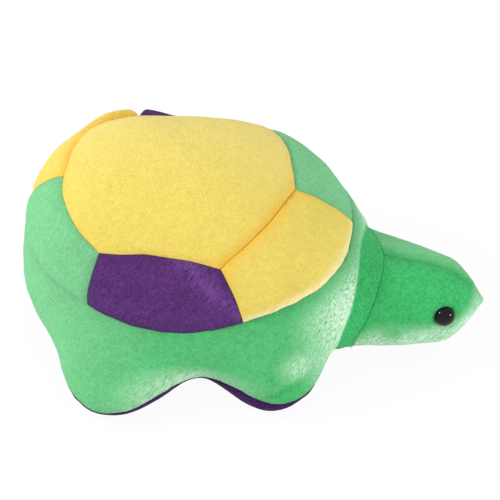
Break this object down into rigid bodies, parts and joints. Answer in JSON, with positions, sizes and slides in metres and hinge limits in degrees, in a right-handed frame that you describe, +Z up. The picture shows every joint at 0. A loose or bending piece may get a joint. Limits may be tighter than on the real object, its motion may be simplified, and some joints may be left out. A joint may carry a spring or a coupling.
{
  "type": "stuffed turtle toy",
  "caption": "Soft sewn turtle with a domed patchwork shell, broad feet, a belly panel and a stuffed head that nods on its neck.",
  "frame": {"origin": "on the ground below the middle of the shell, on the flat of the belly", "axes": "+X towards the head and nose, +Y towards the turtle's left side, +Z up"},
  "size_m": [0.1996, 0.1406, 0.0991],
  "materials": {
    "yellow_fleece": "short napped polyester fleece, yellow",
    "green_fleece": "short napped polyester fleece, mint green",
    "purple_fleece": "short napped polyester fleece, deep purple",
    "fibre": "loose white polyester fibre",
    "eye_plastic": "polished black",
    "washer_plastic": "natural moulded"
  },
  "bodies": {
    "body": {"shell_centre_panel": "yellow_fleece", "shell_front_right_panel": "yellow_fleece", "shell_right_panel": "purple_fleece", "shell_rear_right_panel": "green_fleece", "shell_rear_left_panel": "yellow_fleece", "shell_left_panel": "purple_fleece", "shell_front_left_panel": "green_fleece", "band_panel": "green_fleece", "belly_panel": "purple_fleece", "body_stuffing": "fibre", "front_right_foot_stuffing": "fibre", "front_left_foot_stuffing": "fibre", "rear_right_foot_stuffing": "fibre", "rear_left_foot_stuffing": "fibre"},
    "head": {"head_right_panel": "green_fleece", "head_left_panel": "green_fleece", "chin_panel": "purple_fleece", "head_stuffing": "fibre", "eye_right": "eye_plastic", "eye_washer_right": "washer_plastic", "eye_left": "eye_plastic", "eye_washer_left": "washer_plastic"}
  },
  "joints": [
    {"name": "head_nod", "type": "hinge", "parent": "body", "child": "head", "pos_m": [0.072, 0, 0.0256], "axis": [0, 1, 0], "range_deg": [-15, 10], "stiffness_Nm_per_rad": 0.3, "deforming": ["head_right_panel", "head_left_panel", "chin_panel"]}
  ]
}
